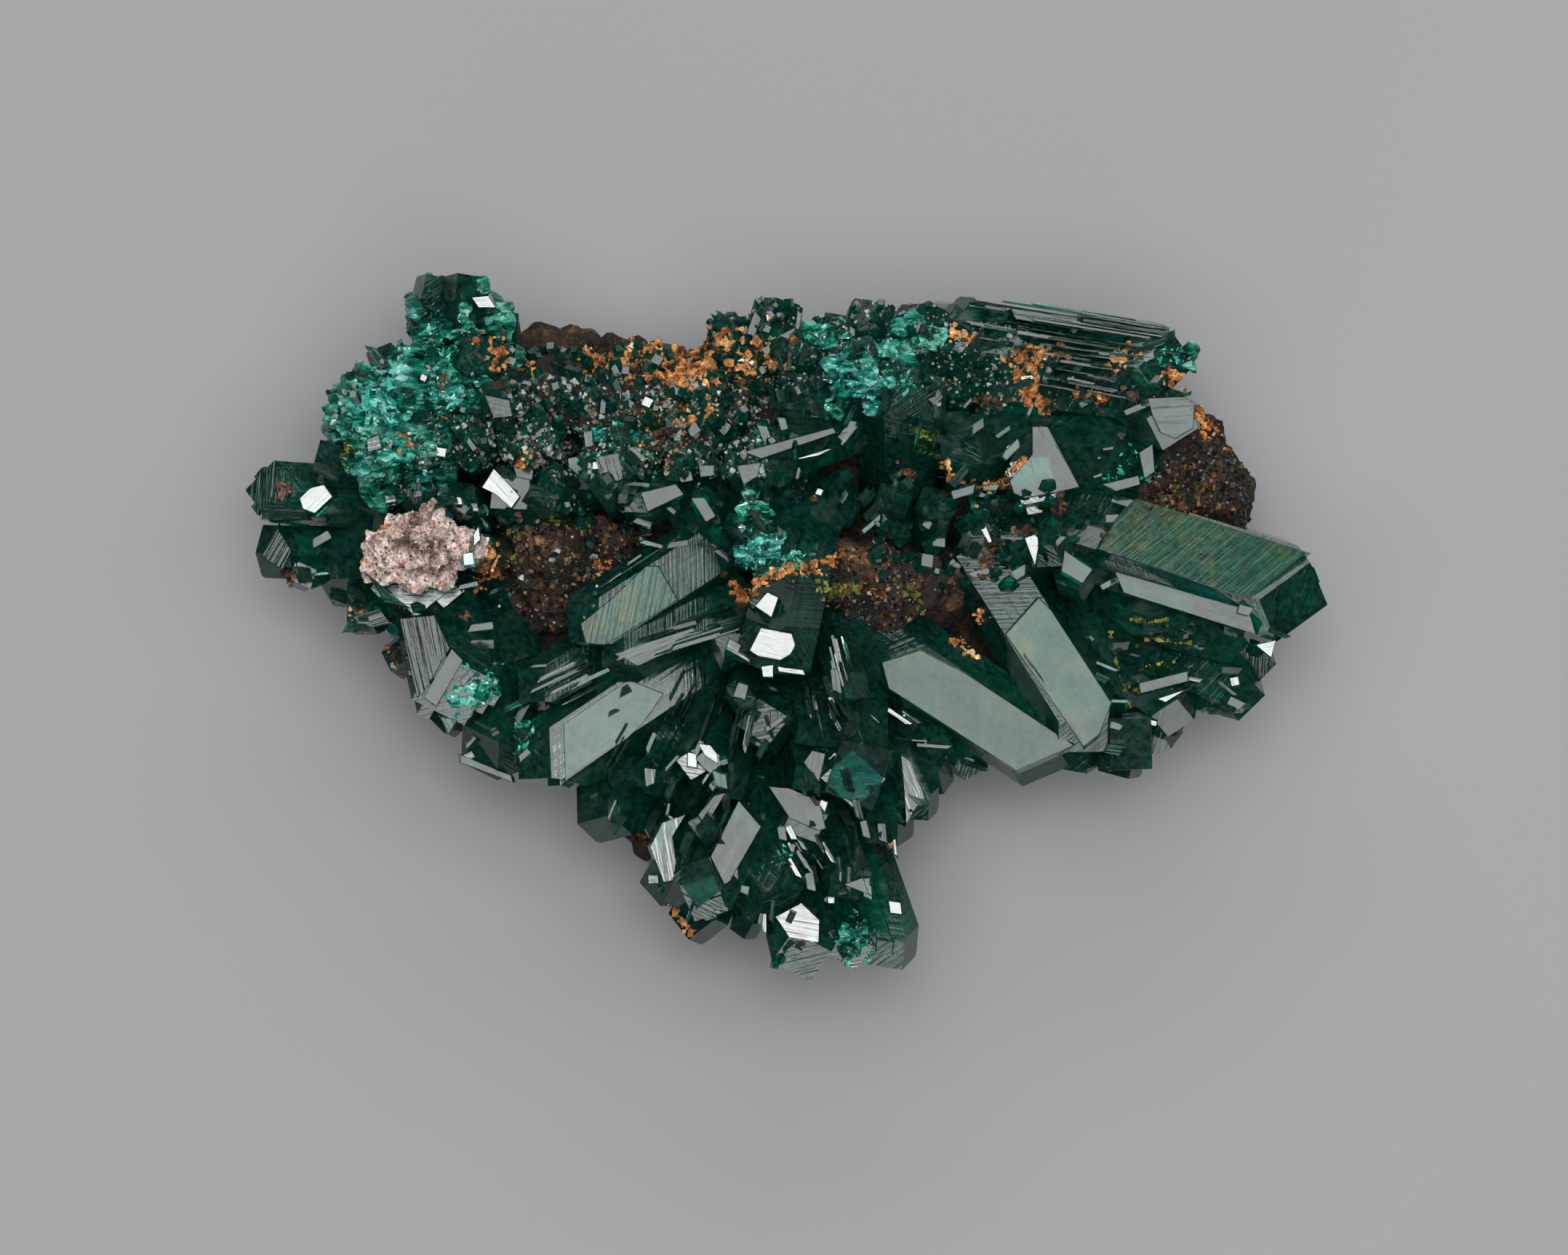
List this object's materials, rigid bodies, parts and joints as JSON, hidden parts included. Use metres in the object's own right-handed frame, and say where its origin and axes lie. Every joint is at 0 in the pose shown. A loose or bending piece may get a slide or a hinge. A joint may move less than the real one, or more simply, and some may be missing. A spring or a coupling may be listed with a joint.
{
  "type": "mineral specimen",
  "caption": "Cluster of deep green hexagonal dioptase prisms grown in sprays on brown rusty rock, cut off flat at the back so that it lies on a surface.",
  "frame": {"origin": "middle of the box around the specimen, on the plane of its flat back", "axes": "+X the specimen's right as pictured, +Y its top edge, +Z out of its face"},
  "size_m": [0.0622, 0.0407, 0.0215],
  "materials": {
    "dioptase": "polished",
    "rock": "matte",
    "grains": "matte"
  },
  "bodies": {
    "root": {"matrix_rock": "rock", "dioptase_center_spray": "dioptase", "dioptase_left_cluster": "dioptase", "dioptase_right_prisms": "dioptase", "dioptase_tail_cluster": "dioptase", "granular_lump": "grains"}
  },
  "joints": []
}
